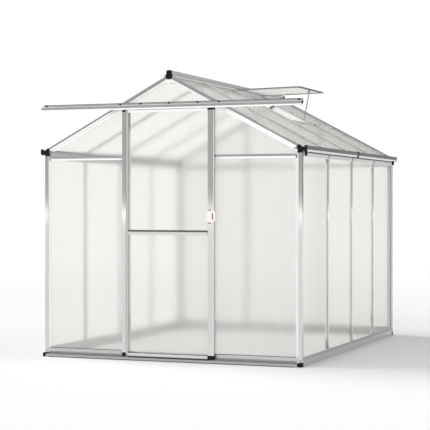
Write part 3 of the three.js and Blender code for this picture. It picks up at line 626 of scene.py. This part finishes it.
# The gutter's fittings, moulded in the same nylon: a stop at each end, an outlet near every end but the left
# gutter's front one, and a clip over the gap near the middle, where the gutter's two lengths meet.
gutter_low, gutter_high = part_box("gutter_right")
trough = ((0.9509, 1.4225), (0.9640, 1.4225), (0.9655, 1.4140), (0.9745, 1.4140), (0.9838, 1.4275), (0.9838, 1.4580),
          (0.9650, 1.4580), (0.9635, 1.4475), (0.9509, 1.4475))
clip = ((0.9735, 1.4136), (0.9752, 1.4136), (0.9839, 1.4268), (0.9839, 1.4588), (0.9735, 1.4588))
clip_start, clip_end = 0.0500, 0.0900
for hand, side in ((-1, "left"), (1, "right")):
    for end, name in ((-1, "front"), (1, "rear")):
        edge = gutter_low.y if end < 0 else gutter_high.y
        stop = slab([(hand * x, z) for x, z in trough], edge + end * 0.0035, edge - end * 0.006, 0.001, 2)
        moulded(f"gutter_stop_{side}_{name}", stop)
        if (hand, end) == (-1, -1):
            continue
        spout = bmesh.new()
        inset = 0.010 if end < 0 else 0.080
        bmesh.ops.create_cone(spout, cap_ends=True, segments=20, radius1=0.0088, radius2=0.0096, depth=0.032)
        bmesh.ops.translate(spout, vec=(hand * 0.9712, edge - end * inset, 1.4045), verts=spout.verts)
        rims = [e for e in spout.edges if abs(e.verts[0].co.z - e.verts[1].co.z) < 0.001]
        bmesh.ops.bevel(
            spout, geom=rims, offset=0.001, offset_type="OFFSET", segments=2, profile=0.5,
            affect="EDGES", material=-1,
        )
        moulded(f"gutter_outlet_{side}_{name}", spout)
    for trim in (((0, clip_start + 0.0005, 0), (0, 1, 0)), ((0, clip_end - 0.0005, 0), (0, -1, 0))):
        ease_edges(trimmed(f"gutter_{side}", long_bar, "house", "mill_aluminium", trim))
    moulded(f"gutter_joiner_{side}", slab([(hand * x, z) for x, z in clip], clip_start, clip_end, 0.0008))


# The screws and bolts: black-coated, with a domed head and a socket. They fix the rail to the rafters and the
# gable, the posts to their feet and the side studs at top and bottom. Each side stud has an aluminium head over the
# eave strip, and a stop hangs at the right end of the rail.
def screw(name, place, outward, body="house", radius=0.0048, rise=0.0026):
    """A domed head standing out of a face at that place."""
    shape = bmesh.new()
    bmesh.ops.create_cone(shape, cap_ends=True, segments=12, radius1=radius, radius2=radius * 0.8, depth=rise)
    top = max(shape.faces, key=lambda f: f.calc_center_median().z)
    bmesh.ops.bevel(
        shape, geom=list(top.edges), offset=rise * 0.3, offset_type="OFFSET", segments=2, profile=0.5,
        affect="EDGES", material=-1,
    )
    top = max(shape.faces, key=lambda f: f.calc_center_median().z)
    bmesh.ops.inset_region(shape, faces=[top], thickness=radius * 0.3, use_even_offset=True)
    bmesh.ops.translate(shape, vec=(0, 0, -rise * 0.5), verts=top.verts)
    turn = Vector(outward).to_track_quat("Z", "Y").to_matrix().to_4x4()
    seat = Matrix.Translation(Vector(place) + Vector(outward) * rise / 2)
    bmesh.ops.transform(shape, matrix=seat @ turn, verts=shape.verts)
    bmesh.ops.recalc_face_normals(shape, faces=shape.faces)
    return moulded(name, shape, body)


foot_screw_height = 0.0415
for i, x in enumerate((-0.934, -0.365, -0.21, 0.0, 0.21, 0.365, 0.928)):
    screw(f"rail_screw_{i + 1}", (x, front - 0.0024, 1.7597), (0, -1, 0), radius=0.0076, rise=0.006)
for (hand, end), name in corner_names.items():
    face = front if end < 0 else rear - 0.0027
    screw(f"foot_screw_{name}", (hand * 0.939, face, foot_screw_height), (0, end, 0), radius=0.004)
    if end > 0:
        place = (hand * half_width, rear - 0.011, foot_screw_height)
        screw(f"post_screw_{name}", place, (hand, 0, 0), radius=0.004)
for hand, side in ((-1, "left"), (1, "right")):
    for i in (1, 2, 3):
        y = middle(f"wall_stud_{side}_{i}").y
        stud_low, stud_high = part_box(f"wall_stud_{side}_{i}")
        head = block(
            (hand * 0.9514, stud_low.y, eave_strip_low), (hand * 0.9520, stud_high.y, eave_strip_high), 0.0002,
        )
        new_piece(f"stud_head_{side}_{i}", head, stud_bar, "house")
        screw(f"stud_screw_{side}_{i}_low", (hand * half_width, y, 0.073), (hand, 0, 0), radius=0.0042)
        screw(f"stud_screw_{side}_{i}_high", (hand * half_width, y, 1.372), (hand, 0, 0), radius=0.0042)
low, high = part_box("door_rail")
tab = block((high.x, low.y + 0.001, low.z - 0.012), (high.x - 0.003, low.y + 0.016, low.z + 0.016), 0.0006)
moulded("rail_stop", tab)


# The door's handle: two moulded half-shells of warm white plastic that clasp the edge of the right-hand stile, with
# a dark latch in the slot of the outer one and the latch's two small ends above and below the inner one.
handle_finish, w = material("handle_plastic")
place = w.node("ShaderNodeTexCoord", out="Object")
cloud = w.node("ShaderNodeTexNoise", values={"Vector": place, "Scale": 60.0, "Detail": 3.0})
shade = w.node(
    "ShaderNodeMix", {"data_type": "RGBA"}, {0: cloud, 6: (0.90, 0.80, 0.73, 1), 7: (0.97, 0.91, 0.86, 1)}, out=2,
)
finish_with(w, w.node("ShaderNodeBsdfPrincipled", values={"Base Color": shade, "Roughness": 0.3 + cloud * 0.15}))
latch_finish, w = material("latch_brown")
place = w.node("ShaderNodeTexCoord", out="Object")
cloud = w.node("ShaderNodeTexNoise", values={"Vector": place, "Scale": 120.0, "Detail": 3.0})
shade = w.node(
    "ShaderNodeMix", {"data_type": "RGBA"}, {0: cloud, 6: (0.09, 0.06, 0.045, 1), 7: (0.15, 0.11, 0.08, 1)}, out=2,
)
finish_with(w, w.node("ShaderNodeBsdfPrincipled", values={"Base Color": shade, "Roughness": 0.5 + cloud * 0.15}))
low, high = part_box("door_handle")
parting = 0.3206
for side, outer, hand in (("inner", low.x, -1), ("outer", high.x, 1)):
    bow = 0.018
    arc = [(outer - hand * bow * (1 - cos(t * pi / 12)), bow * (1 - sin(t * pi / 12))) for t in range(7)]
    upper = [(x, high.z - 0.001 - drop) for x, drop in arc]
    lower = [(x, low.z + 0.001 + drop) for x, drop in reversed(arc)]
    outline = [(parting, low.z + 0.001), (parting, high.z - 0.001), *reversed(upper), *reversed(lower)]
    shell = slab(outline, low.y + 0.0003, high.y, 0.0022, 3)
    bmesh.ops.remove_doubles(shell, verts=shell.verts, dist=0.00002)
    new_piece(f"handle_shell_{side}", shell, handle_finish, "door", ("door_handle",))
latch = block((0.3304, low.y, 0.9675), (0.3396, low.y + 0.004, 1.0115), 0.001, 2)
for name, bottom, top in (("top", 1.0280, 1.0340), ("bottom", 0.9400, 0.9460)):
    holder = block((0.2995, low.y + 0.0010, bottom), (0.3135, door_front, top), 0.0008, 2)
    new_piece(f"latch_end_{name}", holder, latch_finish, "door")
new_piece("door_latch", latch, latch_finish, "door")
